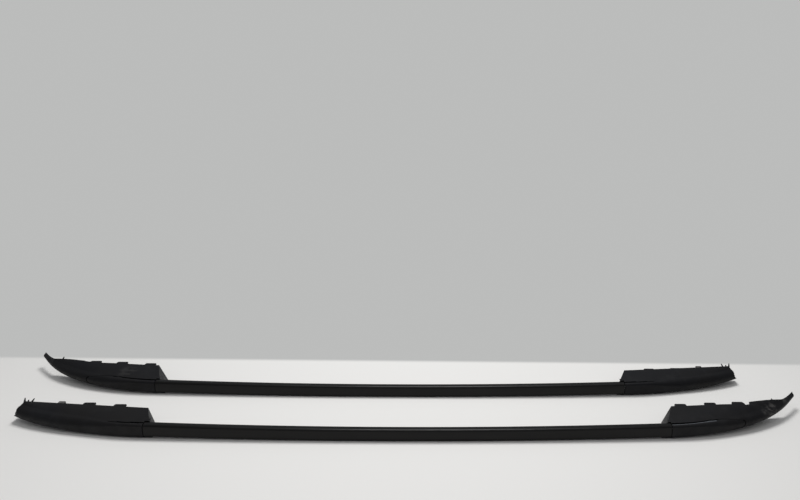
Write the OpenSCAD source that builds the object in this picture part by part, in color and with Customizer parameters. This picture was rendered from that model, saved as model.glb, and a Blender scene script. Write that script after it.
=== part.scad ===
// Pair of roof side rails for an estate car, lying on their outer sides.
// +X runs along the rails, +Y points to the side that meets the roof, +Z is up.
// The right rail lies in front with its nose towards +X, the left rail is its mirror image.

/* [Pair] */
// Distance between the two bars' faces at mid length
pair_gap = 200; // [170:1:320]
// How far the right rail lies ahead of the left one along X
pair_stagger = 83; // [0:1:200]

/* [Bar] */
// Length of bar that shows between its two covers
bar_len = 1145; // [900:1:1300]
// Depth of the bar's section, from its face to the roof side
bar_depth = 18; // [16:0.5:22]
// Width of the bar's section, across the car
bar_width = 28.5; // [26:0.5:34]
// Corner radius of the section
bar_corner = 5; // [3:0.5:6]
// Wall of the extrusion
bar_wall = 2.2; // [1.6:0.1:3]
// Radius of the bend that follows the roof's side profile
side_radius = 15000; // [12000:100:30000]
// Radius of the bend that follows the roof's plan
plan_radius = 36000; // [28000:100:90000]

/* [Front cover] */
// Length of the front cover beyond the end of the bar
front_len = 340; // [330:1:420]
// How far behind the bar's face the tip of the nose lies
front_sweep = 150; // [120:1:170]
// Angle of the nose's face at its tip
front_tip_angle = 45; // [30:1:55]
// Length over which the face runs on straight from the bar
front_straight = 240; // [200:1:250]
// Length over which the face turns in at the tip
front_turn = 50; // [30:1:70]
// Height of the tip's lower edge above the surface
front_tip_rise = 31; // [24:1:34]
// Thickness of the nose between its face and its roof edge
front_blade = 12; // [10:0.5:16]
// Distance from the bar's face to the roof edge
front_base = 85; // [80:1:95]
// Where the roof edge starts to rise to the nose
front_rise_start = 172; // [165:1:190]
// Height of the roof edge at the nose, at its highest
front_crest = 48; // [46:0.5:50]
// How far the foot of the end wall leans back under the bar
front_inboard = 1; // [-4:0.5:6]
// Lean of the end wall from the bar to the roof edge
front_lean = 20; // [12:1:28]
// Draft of the end wall, from the sole up
front_draft = 23; // [10:1:28]
// Radius of the nose's upper edge, where the band has run out
front_crown = 14; // [8:1:16]

/* [Rear cover] */
// Length of the rear cover beyond the end of the bar
rear_len = 315; // [305:1:360]
// How far behind the bar's face the rear end lies
rear_sweep = 80; // [70:1:88]
// Angle of the face at the rear end
rear_tip_angle = 30; // [20:1:35]
// Length over which the face runs on straight from the bar
rear_straight = 90; // [70:1:120]
// Length over which the face turns in at the end
rear_turn = 90; // [60:1:110]
// Height of the rear end's lower edge above the surface
rear_tip_rise = 15; // [10:1:18]
// Distance from the bar's face to the roof edge at the end of the bar
rear_base = 69; // [67:1:80]
// Slope of the rear roof edge
rear_slope = 5.7; // [4:0.1:6]
// How far the foot of the end wall leans back under the bar
rear_inboard = 4.8; // [0:0.2:8]
// Lean of the end wall from the bar to the roof edge
rear_lean = 16; // [10:1:24]
// Draft of the end wall, from the sole up
rear_draft = 16; // [8:1:24]
// Radius of the rear end's upper edge, where the band has run out
rear_crown = 17; // [8:1:18]
// Slant of the blunt rear end
rear_cut_angle = 39; // [20:1:42]

/* [Cover moulding] */
// Wall of the moulded covers
cover_wall = 2.5; // [2:0.1:3]
// Height of the covers' inner side at the roof edge
cover_height = 42; // [41:0.5:45]
// Lip of the cover that wraps round the bar's outer side
cover_lip = 2.4; // [2:0.1:3]
// Depth of the raised band that carries on the bar's line
band_depth = 6; // [5.5:0.5:8]
// Width of the groove behind the band
groove_width = 2.6; // [2:0.1:3.5]
// Depth of the groove at the end of the bar
groove_depth = 3; // [2:0.1:4]
// Gap between the end of the bar and the cover
seam_gap = 1; // [0.6:0.1:1.4]
// Clearance between the cover and the bar
cover_clear = 0.3; // [0.2:0.05:0.5]
// How far the moulded tabs stand out of the roof edge
tab_reach = 9; // [5:0.5:11]
// Length of a moulded tab along the roof edge
tab_len = 28; // [20:1:32]

/* [Brackets] */
// Length of the spigot inside the bar
spigot_len = 45; // [30:1:70]
// Clearance of the spigot in the bar
spigot_clear = 0.2; // [0.1:0.05:0.4]
// Thickness of the foot plate
plate_thick = 6; // [5:0.5:7]
// Width of the foot plate
plate_width = 24; // [22:0.5:26]
// Thickness of the cast web
web_thick = 6; // [5:0.5:7]
// Thickness of the neck between spigot and web
neck_thick = 15; // [12:0.5:17]
// Diameter of a threaded boss
boss_dia = 20; // [18:0.5:21]
// Height of a threaded boss
boss_height = 24; // [21:0.5:27]
// Thickness of the soft pad under a foot
gasket_thick = 3; // [2:0.5:4]
// Distance from the end of the bar to the first threaded boss
boss_start = 58; // [52:1:62]
// Distance between a foot's two threaded bosses
boss_pitch = 86; // [80:1:92]

/* [Fasteners] */
// Outer diameter of a threaded insert
insert_dia = 12; // [11:0.5:13]
// Bore of a threaded insert
insert_bore = 6.8; // [6.6:0.1:7]
// Length of a threaded insert
insert_len = 18; // [14:1:20]
// Shank diameter of a cover screw
cover_screw_dia = 3.4; // [3:0.1:3.6]
// Head diameter of a cover screw
cover_screw_head = 8; // [7:0.5:9]
// Length of a cover screw below its head
cover_screw_len = 22; // [18:1:26]
// Shank diameter of a bar screw
bar_screw_dia = 4.8; // [4:0.1:5]
// Head diameter of a bar screw
bar_screw_head = 8; // [7:0.5:8.5]
// Clearance round the fasteners
fastener_clear = 0.1; // [0.05:0.01:0.2]
// Thickness of the spring clips
clip_sheet = 0.8; // [0.6:0.1:1]

/* [Locator] */
// Width of the rear locator along the rail
locator_width = 13; // [10:0.5:16]
// How far the rear locator stands out of the roof edge
locator_reach = 14; // [10:0.5:16]

/* [Hidden] */

big = 400;
bar_half = bar_len / 2;
// The two bends are one circular bend in a tilted plane
bend_radius = 1 / sqrt(pow(1 / side_radius, 2) + pow(1 / plan_radius, 2));
bend_tilt = atan2(side_radius, plan_radius);
bend_rate = 180 / (PI * bend_radius);
// Place and slope of the bar's end, seen from its middle
end_y = pow(bar_half, 2) / (2 * side_radius);
end_z = pow(bar_half, 2) / (2 * plan_radius);
end_slope = bar_half / side_radius;
end_mid_z = end_z + bar_width / 2;
bar_steps = 36;
bend_fn = round(360 / (bar_len * bend_rate) * bar_steps);

// Lower edge of each cover's face, as the four points of a curve: along the rail from the
// bar's end, towards the roof side, and up
front_face = [
    [0, end_y, end_z - cover_lip],
    [front_straight, end_y + front_straight * end_slope, end_z + 8],
    [front_len - front_turn * cos(front_tip_angle),
     front_sweep - front_turn * sin(front_tip_angle), front_tip_rise - 2],
    [front_len, front_sweep, front_tip_rise]
];
rear_face = [
    [0, end_y, end_z - cover_lip],
    [rear_straight, end_y + rear_straight * end_slope, end_z - 3.6],
    [rear_len - rear_turn * cos(rear_tip_angle),
     rear_sweep - rear_turn * sin(rear_tip_angle), rear_tip_rise - 7],
    [rear_len, rear_sweep, rear_tip_rise]
];

function mix(a, b, t) = a + (b - a) * t;
function clamp01(t) = max(0, min(1, t));
function ease(a, b, t) = mix(a, b, (1 - cos(180 * clamp01(t))) / 2);
function bezier(p, t) =
    pow(1 - t, 3) * p[0] + 3 * t * pow(1 - t, 2) * p[1]
    + 3 * t * t * (1 - t) * p[2] + pow(t, 3) * p[3];

// Roof edge of the front cover: level, then rising, then running with the nose's face
function front_roof_y(s, face_y) =
    max(front_base + 0.25 * max(0, s - front_rise_start), face_y + front_blade);
// Height of that edge on the inner side
function front_roof_z(s) = s < front_rise_start
    ? ease(cover_height, front_crest, s / front_rise_start)
    : ease(front_crest, front_tip_rise + 7,
           (s - front_rise_start) / (front_len - front_rise_start));
// Height of that edge on the outer side
function front_sole_z(s, low_z) =
    ease(0, low_z + 1, (s - front_rise_start) / (front_len - front_rise_start - 10));
function rear_roof_y(s) = rear_base + s * tan(rear_slope);

// One ring of a cover: from the outer roof edge round the face to the inner roof edge.
// face_y and low_z give the face's lower edge, top_z its upper edge, roof_y and roof_z the
// inner roof edge, sole_z the outer one, corner and crown are the radii of the face's lower
// and upper edge, depth is the groove's, and drop lowers the band.
function ring(face_y, low_z, top_z, corner, crown, depth, drop, roof_y, roof_z, sole_z) =
    let (band_y = face_y + max(band_depth, crown + 0.5), skirt_y = band_y + groove_width)
    concat(
        [[roof_y, sole_z], [mix(face_y + corner, roof_y, 0.5), mix(low_z, sole_z, 0.6)]],
        [for (a = [0 : 22.5 : 90])
            [face_y + corner * (1 - sin(a)), low_z + corner * (1 - cos(a))]],
        [for (a = [0 : 22.5 : 90])
            [face_y + crown * (1 - cos(a)), top_z - drop - crown * (1 - sin(a))]],
        [[band_y, top_z - drop], [band_y + 0.3 * groove_width, top_z - depth],
         [band_y + 0.7 * groove_width, top_z - depth], [skirt_y, top_z]],
        [for (k = [0.33, 0.66])
            [mix(skirt_y, roof_y, k), mix(top_z, roof_z, k) + 1.2 * sin(180 * k)]],
        [[roof_y, roof_z]]
    );

function front_ring(t, wall) =
    let (
        p = bezier(front_face, t),
        s = p[0],
        top_z = mix(end_z + bar_width, front_tip_rise + 7, s / front_len),
        depth = groove_depth * clamp01(1 - s / front_groove_end),
        corner = mix(bar_corner, 3, clamp01(s / front_len)) - wall * 0.5,
        crown = min(ease(bar_corner, front_crown, (s - crown_from) / crown_run) - wall * 0.5,
                    top_z - p[2] - 2 * wall - corner - (wall > 0 ? depth : 0) - 0.5)
    )
    [for (q = ring(p[1] + wall, p[2] + wall, top_z - wall, corner, crown, depth,
                   wall > 0 ? depth : 0, front_roof_y(s, p[1]) + 4 * wall,
                   front_roof_z(s) - wall, front_sole_z(s, p[2]) + wall))
        [s, q[0], q[1]]];

function rear_ring(t, wall) =
    let (
        p = bezier(rear_face, t),
        s = p[0],
        top_z = mix(end_z + bar_width, end_z + bar_width + 3, s / rear_len),
        depth = groove_depth * clamp01(1 - s / rear_groove_end),
        corner = bar_corner - wall * 0.5,
        crown = min(ease(bar_corner, rear_crown, (s - crown_from) / crown_run) - wall * 0.5,
                    top_z - p[2] - 2 * wall - corner - (wall > 0 ? depth : 0) - 0.5)
    )
    [for (q = ring(p[1] + wall, p[2] + wall, top_z - wall, corner, crown, depth,
                   wall > 0 ? depth : 0, rear_roof_y(s) + 4 * wall, cover_height - wall,
                   ease(0, p[2] - 2, (s - 160) / 150) + wall))
        [s, q[0], q[1]]];

module loft(rings) {
    count = len(rings[0]);
    last = len(rings) - 1;
    points = [for (r = rings, q = r) q];
    sides = [for (i = [0 : last - 1], j = [0 : count - 1])
        let (a = i * count + j, b = i * count + (j + 1) % count)
        each [[a, b, b + count], [a, b + count, a + count]]];
    near_cap = [[for (j = [count - 1 : -1 : 0]) j]];
    far_cap = [[for (j = [0 : count - 1]) last * count + j]];
    polyhedron(points, concat(sides, near_cap, far_cap), convexity = 8);
}

// Places a thing on the bar's centre line, a distance along it from its middle
module along_bar(distance) {
    translate([0, bar_depth / 2 + bend_radius * cos(bend_tilt),
               bar_width / 2 + bend_radius * sin(bend_tilt)])
        rotate([bend_tilt, 0, 0])
            rotate([0, 0, distance * bend_rate])
                translate([0, -bend_radius, 0])
                    rotate([-bend_tilt, 0, 0])
                        children();
}

module rounded_rectangle(width, height, radius) {
    square([width, height - 2 * radius], center = true);
    square([width - 2 * radius, height], center = true);
    for (x = [-1, 1], y = [-1, 1])
        translate([x * (width / 2 - radius), y * (height / 2 - radius)])
            circle(r = radius, $fn = 32);
}

// A bent length of the bar's section, smaller by the inset all round
module bent_section(from, to, inset) {
    translate([0, bar_depth / 2 + bend_radius * cos(bend_tilt),
               bar_width / 2 + bend_radius * sin(bend_tilt)])
        rotate([bend_tilt, 0, 0])
            rotate([0, 0, from * bend_rate - 90])
                rotate_extrude(angle = (to - from) * bend_rate, $fn = bend_fn)
                    translate([bend_radius, 0])
                        rotate(bend_tilt)
                            rounded_rectangle(bar_depth - 2 * inset, bar_width - 2 * inset,
                                              bar_corner - inset);
}

// Copies a thing to both screw places near one end of the bar, its axis along Y
module at_bar_screws(end) {
    for (z = [-1, 1])
        along_bar(end * (bar_half - bar_screw_from_end))
            translate([0, bar_depth / 2, z * 6.5])
                rotate([90, 0, 0])
                    children();
}

module rail_bar() {
    color("#222224")
        difference() {
            bent_section(-bar_half, bar_half, 0);
            bent_section(-bar_half - 2, bar_half + 2, bar_wall);
            for (end = [-1, 1])
                at_bar_screws(end)
                    translate([0, 0, -1])
                        cylinder(d = bar_screw_dia + 4 * fastener_clear, h = bar_wall + 2, $fn = 24);
        }
}

// Everything round the bar's end that the cover must leave free
module bar_space() {
    along_bar(bar_half)
        translate([-big / 4, -bar_depth / 2 - big / 4, -bar_width / 2 - cover_clear])
            cube([big / 4 + seam_gap, big / 4 + bar_depth + cover_clear, big / 4]);
}

// The half space inboard of a cover's end wall, which leans back towards the roof edge and
// outwards from the sole to the inner side
module beyond_wall(inboard, lean, draft, roof_y, offset) {
    back_y = end_y + bar_depth + cover_clear;
    translate([bar_half - inboard + offset, back_y, cover_height])
        rotate([0, 0, -atan2(lean, roof_y - back_y)])
            rotate([0, draft, 0])
                translate([-big, -big, -big])
                    cube([big, 2 * big, 2 * big]);
}

// Puts a thing into a foot's own frame: X along the roof edge from the bar's end,
// Y out of the roof edge, Z at the middle of the bar's width
module foot_frame(base_y, slope) {
    translate([bar_half, base_y, end_mid_z])
        rotate([0, 0, slope])
            children();
}

// Place of the bar screws
bar_screw_from_end = 22;

// Stations of the cover screws, the ribs and the tabs, along the roof edge
cover_screw_at = [boss_start + 22, boss_start + boss_pitch + 24];
cover_boss_dia = 7;
cover_screw_z = (web_thick + cover_boss_dia) / 2 + 0.5;
plate_from = boss_start - 18;
plate_to = boss_start + boss_pitch + 34;
clip_at = [boss_start + 38, boss_start + boss_pitch - 20];
clip_width = 12;
ear_reach = 5.2;
ear_thick = 3;
front_tabs = [42, 108, 170];
tab_corner = 4;
tab_tilt = 9;
notch_from = 186;
notch_len = 13;
notch_depth = 7;
crown_from = 40;
crown_run = 120;
rear_tabs = [73, 146];
prong_count = 3;
prong_pitch = 7;
rear_prongs_at = rear_len - 31;
pin_at = front_len - 72;
front_ribs = [plate_to + 28, plate_to + 58];
rear_ribs = [plate_to + 10, plate_to + 72];
rib_thick = 2;
neck_len = 12;
neck_inset = 1.7;
front_groove_end = 130;
rear_groove_end = 100;
locator_at = plate_to + 35;
locator_tilt = 6.5;
locator_thick = 7;
locator_hold = 8;
locator_top = cover_height - cover_wall - 1.9;

// Moulded tab on the inner roof edge of a cover
module edge_tab(at, y, z) {
    translate([bar_half + at - tab_len / 2, y - cover_wall, z - 1])
        rotate([tab_tilt, 0, 0])
            translate([0, 0, -cover_wall])
                linear_extrude(cover_wall)
                    polygon([[0, -2], [tab_len, -2], [tab_len, tab_reach + cover_wall - tab_corner],
                             [tab_len - tab_corner / 2, tab_reach + cover_wall],
                             [tab_corner / 2, tab_reach + cover_wall],
                             [0, tab_reach + cover_wall - tab_corner]]);
}

front_steps = 26;
rear_steps = 20;
front_tip_end = 0.995;
front_hollow_end = 0.7;
rear_hollow_end = 0.93;
open_start = -0.07;

// Face height of each cover over a station, found on its curve
function face_at(curve, s, t0 = 0, t1 = 1, n = 18) =
    let (t = (t0 + t1) / 2)
    n == 0 ? bezier(curve, t)[1]
    : bezier(curve, t)[0] < s ? face_at(curve, s, t, t1, n - 1) : face_at(curve, s, t0, t, n - 1);

module front_cover() {
    color("#303134") {
        difference() {
            translate([bar_half, 0, 0])
                loft([for (i = [0 : front_steps])
                    front_ring(mix(open_start, front_tip_end, i / front_steps), 0)]);
            difference() {
                translate([bar_half, 0, 0])
                    loft([for (i = [0 : front_steps])
                        front_ring(mix(2 * open_start, front_hollow_end, i / front_steps),
                                   cover_wall)]);
                beyond_wall(front_inboard, front_lean, front_draft, front_base, cover_wall);
                for (s = front_ribs)
                    translate([bar_half + s, 0, 0])
                        cube([rib_thick, front_base - 6, big]);
            }
            beyond_wall(front_inboard, front_lean, front_draft, front_base, 0);
            bar_space();
            // Notch in the roof edge where the rising part begins
            translate([bar_half + notch_from, front_roof_y(notch_from, 0) - notch_depth,
                       cover_height - 3 * cover_wall])
                cube([notch_len, big, big]);
        }
        for (s = front_tabs)
            edge_tab(s, front_roof_y(s, 0), front_roof_z(s));
        // Thin locating pin near the nose
        translate([bar_half + pin_at, front_roof_y(pin_at, 0) - 4, front_roof_z(pin_at) - 3.4])
            rotate([-90, 0, 0])
                cylinder(d1 = 5, d2 = 2.4, h = tab_reach + 4, $fn = 20);
        cover_bosses(front_base, 0, front_face);
    }
}

module rear_cover() {
    color("#2c2f2f")
        mirror([1, 0, 0]) {
            difference() {
                translate([bar_half, 0, 0])
                    loft([for (i = [0 : rear_steps])
                        rear_ring(mix(2 * open_start, 1, i / rear_steps), 0)]);
                difference() {
                    translate([bar_half, 0, 0])
                        loft([for (i = [0 : rear_steps])
                            rear_ring(mix(3 * open_start, rear_hollow_end, i / rear_steps),
                                      cover_wall)]);
                    beyond_wall(rear_inboard, rear_lean, rear_draft, rear_base, cover_wall);
                    for (s = rear_ribs)
                        translate([bar_half + s, 0, 0])
                            cube([rib_thick, rear_roof_y(s) - 6, big]);
                }
                beyond_wall(rear_inboard, rear_lean, rear_draft, rear_base, 0);
                bar_space();
                translate([bar_half + rear_len, rear_sweep, rear_tip_rise + 4])
                    rotate([0, -rear_cut_angle, 0])
                        translate([0, -big / 2, 0])
                            cube([big, big, big]);
            }
            for (s = rear_tabs)
                edge_tab(s, rear_roof_y(s), cover_height);
            // Broken ribs that stand out of the roof edge at the blunt end
            for (i = [0 : prong_count - 1]) {
                s = rear_prongs_at + i * prong_pitch;
                translate([bar_half + s, rear_roof_y(s) - 3, cover_height - cover_wall - 0.8])
                    rotate([-90, 0, 0])
                        cylinder(d1 = 4, d2 = 1.2, h = tab_reach + (i % 2) * 3, $fn = 14);
            }
            cover_bosses(rear_base, rear_slope, rear_face);
        }
}

// Hollow bosses that take the cover screws, from the face's inside down to the foot plate
module cover_bosses(base_y, slope, curve) {
    foot_frame(base_y, slope)
        for (s = cover_screw_at) {
            drop = base_y + s * tan(slope) - face_at(curve, s) - cover_wall * 0.6;
            sole = gasket_thick + plate_thick + cover_clear;
            difference() {
                translate([s, -sole, cover_screw_z])
                    rotate([90, 0, 0])
                        cylinder(d = cover_boss_dia, h = drop - sole, $fn = 24);
                translate([s, -sole + 1, cover_screw_z])
                    rotate([90, 0, 0])
                        cylinder(d = cover_screw_dia + 2 * fastener_clear,
                                 h = cover_screw_len, $fn = 24);
            }
        }
}

// Cast foot: a spigot in the bar, a web, a foot plate and two threaded bosses
module bracket(base_y, slope) {
    spigot_inset = bar_wall + spigot_clear;
    top = end_y + spigot_inset;
    bottom = end_y + bar_depth - spigot_inset;
    sole = -gasket_thick;
    difference() {
        union() {
            bent_section(bar_half - spigot_len, bar_half, spigot_inset);
            // The neck that leaves the bar
            translate([bar_half - 4, top + neck_inset, end_mid_z - neck_thick / 2])
                cube([neck_len, bottom - top - 2 * neck_inset, neck_thick]);
            // The web, from the spigot to the foot plate
            translate([0, 0, end_mid_z - web_thick / 2])
                linear_extrude(web_thick)
                    polygon([
                        [bar_half + 2, top + 1],
                        [bar_half + 26, top + 3],
                        foot_point(base_y, slope, plate_to - 4, sole - plate_thick - 3),
                        foot_point(base_y, slope, plate_to - 1, sole - 1),
                        foot_point(base_y, slope, plate_from + 1, sole - 1),
                        foot_point(base_y, slope, plate_from + 1, sole - plate_thick - 4),
                        [bar_half + 2, bottom - 1]
                    ]);
            foot_frame(base_y, slope) {
                translate([plate_from, sole - plate_thick, -plate_width / 2])
                    cube([plate_to - plate_from, plate_thick, plate_width]);
                for (i = [0, 1])
                    translate([boss_start + i * boss_pitch, sole, 0])
                        rotate([90, 0, 0])
                            cylinder(d = boss_dia, h = boss_height, $fn = 48);
                for (s = clip_at)
                    translate([s - clip_width / 2 - 1, sole - plate_thick, plate_width / 2 - 0.5])
                        cube([clip_width + 2, ear_thick, ear_reach + 0.5]);
            }
        }
        foot_frame(base_y, slope) {
            for (i = [0, 1])
                translate([boss_start + i * boss_pitch, sole + 1, 0])
                    rotate([90, 0, 0]) {
                        cylinder(d = insert_dia + fastener_clear, h = insert_len + 1, $fn = 48);
                        cylinder(d = insert_bore + 1.6, h = insert_len + 4, $fn = 32);
                    }
            for (s = cover_screw_at)
                translate([s, sole + 1, cover_screw_z])
                    rotate([90, 0, 0]) {
                        cylinder(d = cover_screw_dia + 1, h = plate_thick + 2, $fn = 24);
                        cylinder(d = cover_screw_head + 1.2, h = 1 + 2.8, $fn = 32);
                    }
            // Lightening hole through the web between the bosses
            translate([boss_start + boss_pitch / 2, sole - plate_thick - 9, -web_thick])
                cylinder(d = 9, h = 2 * web_thick, $fn = 32);
        }
        for (z = [-1, 1])
            along_bar(bar_half - bar_screw_from_end)
                translate([0, bar_depth / 2 + 1, z * 6.5])
                    rotate([90, 0, 0])
                        cylinder(d = bar_screw_dia, h = bar_depth - bar_wall - 2, $fn = 24);
    }
}

// A point of the foot's own frame, seen in the rail's frame
function foot_point(base_y, slope, x, y) =
    [bar_half + x * cos(slope) - y * sin(slope), base_y + x * sin(slope) + y * cos(slope)];

module front_bracket() {
    color("silver")
        bracket(front_base, 0);
}

module rear_bracket() {
    color("silver")
        mirror([1, 0, 0])
            bracket(rear_base, rear_slope);
}

// Threaded bushes, flush with the sole of the foot plate
module inserts(base_y, slope) {
    foot_frame(base_y, slope)
        for (i = [0, 1])
            translate([boss_start + i * boss_pitch, -gasket_thick, 0])
                rotate([90, 0, 0])
                    difference() {
                        cylinder(d = insert_dia, h = insert_len, $fn = 48);
                        translate([0, 0, -1])
                            cylinder(d = insert_bore, h = insert_len + 2, $fn = 48);
                    }
}

module front_inserts() {
    color("gold")
        inserts(front_base, 0);
}

module rear_inserts() {
    color("gold")
        mirror([1, 0, 0])
            inserts(rear_base, rear_slope);
}

// Soft pad under the foot plate, open at the inserts and the screw heads
module gasket(base_y, slope) {
    foot_frame(base_y, slope)
        difference() {
            translate([plate_from, -gasket_thick, -plate_width / 2])
                cube([plate_to - plate_from, gasket_thick, plate_width]);
            for (i = [0, 1])
                translate([boss_start + i * boss_pitch, 1, 0])
                    rotate([90, 0, 0])
                        cylinder(d = insert_dia + 2, h = gasket_thick + 2, $fn = 32);
            for (s = cover_screw_at)
                translate([s, 1, cover_screw_z])
                    rotate([90, 0, 0])
                        cylinder(d = cover_screw_head, h = gasket_thick + 2, $fn = 32);
        }
}

module front_gasket() {
    color("#1a1a1a")
        gasket(front_base, 0);
}

module rear_gasket() {
    color("#1a1a1a")
        mirror([1, 0, 0])
            gasket(rear_base, rear_slope);
}

// Low headed screws through the bar's back wall into the spigot
module bar_screws() {
    for (z = [-1, 1])
        along_bar(bar_half - bar_screw_from_end)
            translate([0, bar_depth / 2, z * 6.5])
                rotate([90, 0, 0]) {
                    translate([0, 0, -1.6])
                        cylinder(d = bar_screw_head, h = 1.6 - fastener_clear / 2, $fn = 32);
                    cylinder(d = bar_screw_dia - fastener_clear, h = 11, $fn = 24);
                }
}

module front_bar_screws() {
    color("dimgray")
        bar_screws();
}

module rear_bar_screws() {
    color("dimgray")
        mirror([1, 0, 0])
            bar_screws();
}

// Screws through the foot plate into the cover's bosses
module cover_screws(base_y, slope) {
    foot_frame(base_y, slope)
        for (s = cover_screw_at)
            translate([s, -gasket_thick - 2.8, cover_screw_z])
                rotate([90, 0, 0]) {
                    cylinder(d = cover_screw_dia, h = cover_screw_len, $fn = 24);
                    translate([0, 0, -2.4])
                        cylinder(d = cover_screw_head, h = 2.4, $fn = 32);
                }
}

module front_cover_screws() {
    color("dimgray")
        cover_screws(front_base, 0);
}

module rear_cover_screws() {
    color("dimgray")
        mirror([1, 0, 0])
            cover_screws(rear_base, rear_slope);
}

// Spring clips pushed over the foot plate's ears
module clips(base_y, slope) {
    ear_front = -gasket_thick - plate_thick;
    reach = ear_reach - 0.4;
    foot_frame(base_y, slope)
        for (s = clip_at)
            translate([s - clip_width / 2, ear_front - clip_sheet, plate_width / 2 + 0.4])
                difference() {
                    cube([clip_width, ear_thick + 2 * clip_sheet, reach + clip_sheet]);
                    translate([-1, clip_sheet, -1])
                        cube([clip_width + 2, ear_thick, reach + 1]);
                }
}

module front_clips() {
    color("slategray")
        clips(front_base, 0);
}

module rear_clips() {
    color("slategray")
        mirror([1, 0, 0])
            clips(rear_base, rear_slope);
}

// Light block that stands out of the rear roof edge
module rear_locator() {
    color("#9a938a")
        mirror([1, 0, 0])
            translate([bar_half + locator_at, rear_roof_y(locator_at), locator_top])
                rotate([locator_tilt, 0, 0])
                    translate([-locator_width / 2, -locator_hold, -locator_thick])
                        cube([locator_width, locator_hold + locator_reach, locator_thick]);
}

// The pair's reach from the right bar's face to the tip of the left nose
pair_depth = pair_gap + bezier(front_face, front_tip_end)[1] + front_blade;
right_shift = (rear_len - front_len + pair_stagger) / 2;

// Puts a piece of the right rail into its place in the pair
module right_rail() {
    translate([right_shift, -pair_depth / 2, 0])
        children();
}

// Mirrors a piece into the left rail, behind the right one
module left_rail() {
    translate([-right_shift, pair_gap - pair_depth / 2, 0])
        mirror([1, 0, 0])
            children();
}

right_rail() rail_bar();  // right_rail_bar
right_rail() front_cover();  // right_front_cover
right_rail() rear_cover();  // right_rear_cover
right_rail() front_bracket();  // right_front_bracket
right_rail() rear_bracket();  // right_rear_bracket
right_rail() front_inserts();  // right_front_inserts
right_rail() rear_inserts();  // right_rear_inserts
right_rail() front_gasket();  // right_front_gasket
right_rail() rear_gasket();  // right_rear_gasket
right_rail() front_bar_screws();  // right_front_bar_screws
right_rail() rear_bar_screws();  // right_rear_bar_screws
right_rail() front_cover_screws();  // right_front_cover_screws
right_rail() rear_cover_screws();  // right_rear_cover_screws
right_rail() front_clips();  // right_front_clips
right_rail() rear_clips();  // right_rear_clips
right_rail() rear_locator();  // right_rear_locator
left_rail() rail_bar();  // left_rail_bar
left_rail() front_cover();  // left_front_cover
left_rail() rear_cover();  // left_rear_cover
left_rail() front_bracket();  // left_front_bracket
left_rail() rear_bracket();  // left_rear_bracket
left_rail() front_inserts();  // left_front_inserts
left_rail() rear_inserts();  // left_rear_inserts
left_rail() front_gasket();  // left_front_gasket
left_rail() rear_gasket();  // left_rear_gasket
left_rail() front_bar_screws();  // left_front_bar_screws
left_rail() rear_bar_screws();  // left_rear_bar_screws
left_rail() front_cover_screws();  // left_front_cover_screws
left_rail() rear_cover_screws();  // left_rear_cover_screws
left_rail() front_clips();  // left_front_clips
left_rail() rear_clips();  // left_rear_clips
left_rail() rear_locator();  // left_rear_locator
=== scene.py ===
"""A handed pair of roof side rails, dressed around its CAD frame.

The bars and the long moulded foot covers are smooth surfaces worked out with numpy; the
cast feet, screws, clips, bushes and pads inside keep their CAD shape and get a finish.
"""

import math

import bpy
import numpy as np
from bpy.props import FloatProperty, FloatVectorProperty, PointerProperty
from bpy.types import Operator, Panel, PropertyGroup
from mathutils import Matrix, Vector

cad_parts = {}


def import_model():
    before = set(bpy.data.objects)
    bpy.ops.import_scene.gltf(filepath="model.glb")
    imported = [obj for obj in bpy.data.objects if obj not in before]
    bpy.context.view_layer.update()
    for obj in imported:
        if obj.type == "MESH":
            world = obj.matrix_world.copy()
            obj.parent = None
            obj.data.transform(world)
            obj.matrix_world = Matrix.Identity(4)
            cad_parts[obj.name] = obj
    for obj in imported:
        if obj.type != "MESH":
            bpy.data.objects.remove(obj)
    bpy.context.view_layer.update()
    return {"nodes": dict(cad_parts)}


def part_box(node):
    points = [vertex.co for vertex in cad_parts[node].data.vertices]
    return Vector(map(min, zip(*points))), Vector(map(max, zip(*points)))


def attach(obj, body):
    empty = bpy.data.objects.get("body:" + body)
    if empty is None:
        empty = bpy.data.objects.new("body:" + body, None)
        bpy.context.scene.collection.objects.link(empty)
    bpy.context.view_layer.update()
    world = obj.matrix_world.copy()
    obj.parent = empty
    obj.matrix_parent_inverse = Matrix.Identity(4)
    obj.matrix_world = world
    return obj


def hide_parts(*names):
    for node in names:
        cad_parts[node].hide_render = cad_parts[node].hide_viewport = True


bl_info = {
    "name": "Roof side rails",
    "version": (1, 0, 0),
    "blender": (4, 5, 0),
    "location": "View3D > Sidebar > Roof rails",
    "description": "Builds a handed pair of roof side rails with moulded foot covers",
    "category": "Add Mesh",
}

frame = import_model()
MM = 0.001
SHARP_ANGLE = math.radians(36)

# Camera found from the photograph: place in metres, turn in degrees, lens and sensor in
# millimetres, sideways shift as a share of the picture's width
CAMERA_PLACE = (0.1188, -1.4874, 0.8063)
CAMERA_TURN = (90 - 15.87, -1.334, -2.053)
CAMERA_LENS, CAMERA_SHIFT, SENSOR = 30.6, -0.1037, 36
# Square area lamps: name, place, the point they face, size in metres and power in watts
LAMPS = (
    ("key_panel", (0.05, 0.55, 2.4), (0, -0.1, 0), 0.9, 44.0),
    ("front_panel", (0.1, -1.6, 2.5), (0, -0.3, 0), 2.4, 13.0),
)
# Light from all round
ROOM_COLOUR, ROOM_STRENGTH = (0.95, 0.97, 1.0, 1), 0.26
# The floor turns to the background's grey between these two values of y + slant x, and it
# reaches this far from the middle, all in metres
BACK_FROM, BACK_TO, BACK_SLANT = 0.215, 0.236, 0.008
FLOOR_HALF = 12.0
# Colour of the pale marks on the covers
SCUFF_COLOUR = (0.12, 0.115, 0.11, 1)


def box_mm(node):
    """Lowest and highest corner of a CAD node in millimetres."""
    low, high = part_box(node)
    return np.array(low) / MM, np.array(high) / MM


RIGHT_BAR = box_mm("right_rail_bar")
LEFT_BAR = box_mm("left_rail_bar")
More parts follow.
